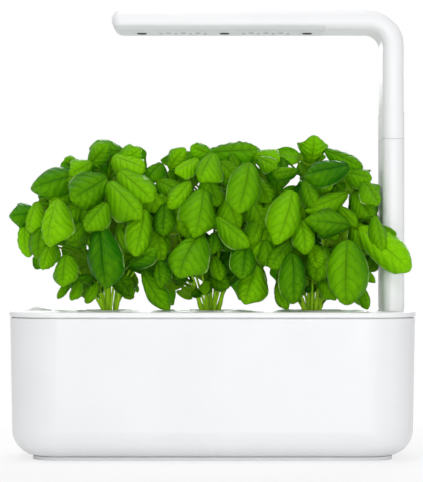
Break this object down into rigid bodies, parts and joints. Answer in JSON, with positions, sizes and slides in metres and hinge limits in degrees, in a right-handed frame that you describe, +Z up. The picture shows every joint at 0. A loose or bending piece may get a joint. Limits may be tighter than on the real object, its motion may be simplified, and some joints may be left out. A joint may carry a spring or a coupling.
{
  "type": "countertop hydroponic garden",
  "caption": "White countertop hydroponic garden: a water casing with plant pods of basil, a float gauge and an L-shaped grow lamp over the plants on a plug-in mast.",
  "frame": {"origin": "on the floor, under the middle of the casing's footprint", "axes": "+Z up along the mast, +X to the right towards the mast as seen from the front, +Y to the back"},
  "size_m": [0.305, 0.125, 0.3382],
  "materials": {
    "white_shell": "satin",
    "plinth_white": "matte",
    "foot_rubber": "matte",
    "screw_steel": "satin",
    "tank_grey": "satin",
    "inner_white": "matte",
    "contact_brass": "satin",
    "board_green": "satin",
    "component_black": "matte",
    "inlet_black": "satin",
    "lead_black": "satin",
    "lid_white": "satin",
    "float_white": "satin",
    "float_foam": "matte",
    "lens_clear": "gloss",
    "emitter_white": "satin",
    "board_white": "satin",
    "sheet_aluminium": "satin",
    "connector_white": "satin",
    "plug_black": "matte",
    "screw_black": "satin",
    "lamp_cover_white": "satin",
    "cup_white": "matte",
    "growing_medium": "matte",
    "pod_cover_white": "matte",
    "wick_cloth": "matte",
    "stem_green": "satin",
    "leaf_green": "satin"
  },
  "bodies": {
    "base": {"casing": "white_shell", "base_plate": "plinth_white", "rubber_feet": "foot_rubber", "base_screws": "screw_steel", "water_tank": "tank_grey", "lamp_socket": "inner_white", "socket_contacts": "contact_brass", "control_board": "board_green", "board_components": "component_black", "dc_inlet": "inlet_black", "base_leads": "lead_black"},
    "lid": {"lid": "lid_white", "float_guide": "inner_white"},
    "float": {"float_cap": "float_white", "float_stem": "float_white", "float_block": "float_foam"},
    "extension": {"mast_extension": "white_shell", "contact_carriers": "inner_white", "extension_contacts": "contact_brass"},
    "lamp": {"lamp_collar": "white_shell", "lamp_contacts": "contact_brass", "lamp_leads": "lead_black", "lamp_arm_shell": "white_shell", "lamp_lower_cover": "lamp_cover_white", "led_lenses": "lens_clear", "leds": "emitter_white", "led_board": "board_white", "heat_spreader": "sheet_aluminium", "lead_connectors": "connector_white", "lamp_screws": "screw_black", "lamp_plugs": "plug_black"},
    "pod_left": {"pod_cup_left": "cup_white", "growing_medium_left": "growing_medium", "pod_cover_left": "pod_cover_white", "wick_left": "wick_cloth", "basil_stems_left": "stem_green", "basil_leaves_left": "leaf_green"},
    "pod_middle": {"pod_cup_middle": "cup_white", "growing_medium_middle": "growing_medium", "pod_cover_middle": "pod_cover_white", "wick_middle": "wick_cloth", "basil_stems_middle": "stem_green", "basil_leaves_middle": "leaf_green"},
    "pod_right": {"pod_cup_right": "cup_white", "growing_medium_right": "growing_medium", "pod_cover_right": "pod_cover_white", "wick_right": "wick_cloth", "basil_stems_right": "stem_green", "basil_leaves_right": "leaf_green"}
  },
  "joints": [
    {"name": "lid_lift", "type": "slide", "parent": "base", "child": "lid", "axis": [0, 0, 1], "range_m": [0, 0.03]},
    {"name": "float_travel", "type": "slide", "parent": "lid", "child": "float", "axis": [0, 0, 1], "range_m": [-0.05, 0]},
    {"name": "pod_left_lift", "type": "slide", "parent": "lid", "child": "pod_left", "axis": [0, 0, 1], "range_m": [0, 0.04]},
    {"name": "pod_middle_lift", "type": "slide", "parent": "lid", "child": "pod_middle", "axis": [0, 0, 1], "range_m": [0, 0.04]},
    {"name": "pod_right_lift", "type": "slide", "parent": "lid", "child": "pod_right", "axis": [0, 0, 1], "range_m": [0, 0.04]},
    {"name": "extension_lift", "type": "slide", "parent": "base", "child": "extension", "axis": [0, 0, 1], "range_m": [0, 0.03]},
    {"name": "lamp_lift", "type": "slide", "parent": "extension", "child": "lamp", "axis": [0, 0, 1], "range_m": [0, 0.03]}
  ]
}
